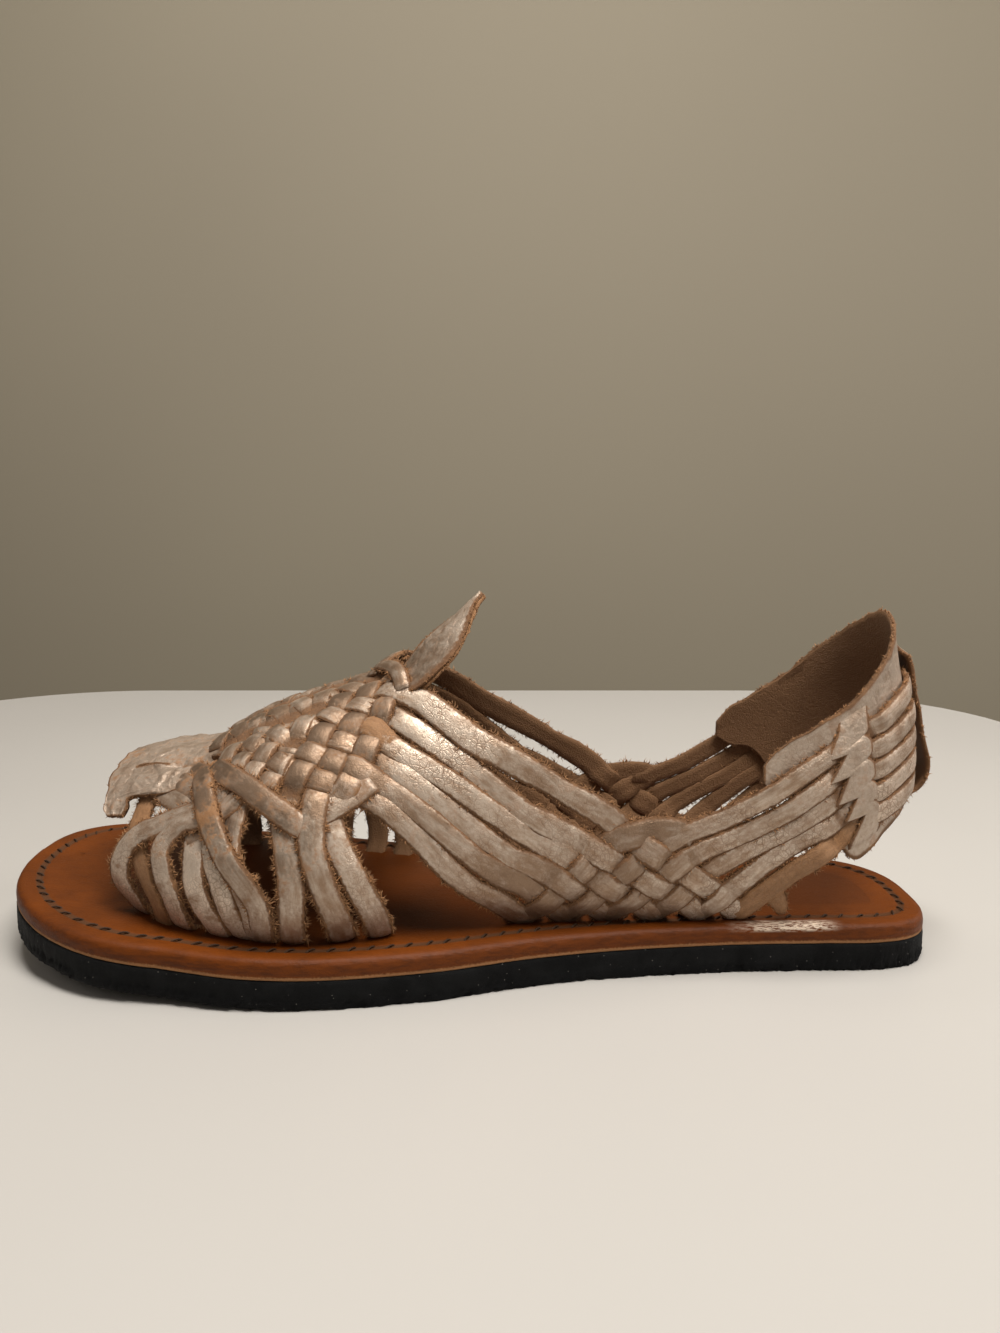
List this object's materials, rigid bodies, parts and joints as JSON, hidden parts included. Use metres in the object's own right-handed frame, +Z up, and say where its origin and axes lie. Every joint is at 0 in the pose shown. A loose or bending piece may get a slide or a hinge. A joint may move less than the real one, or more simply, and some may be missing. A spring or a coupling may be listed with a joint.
{
  "type": "woven leather sandal",
  "caption": "Left huarache sandal: woven leather strap upper with open toe and sides, strapped heel piece, pointed tongue, leather insole and flat rubber sole.",
  "frame": {"origin": "middle of the bounding box in plan, at the bottom of the sole", "axes": "+X to the heel, -X to the toe, -Y to the lateral (outer) side, +Z up"},
  "size_m": [0.26, 0.101, 0.1003],
  "materials": {
    "rubber": "matt black rubber with a rough cut edge",
    "insole_leather": "orange tan leather, burnished edge",
    "strap_leather": "worn silvery bronze film on brown leather",
    "heel_leather": "worn silvery bronze film on brown leather",
    "tongue_leather": "worn silvery bronze film on brown leather",
    "tab_leather": "worn silvery bronze film on brown leather"
  },
  "bodies": {
    "root": {"outsole": "rubber", "insole": "insole_leather", "upper": "strap_leather", "heel_counter": "heel_leather", "tongue": "tongue_leather", "toe_tab": "tab_leather"}
  },
  "joints": []
}
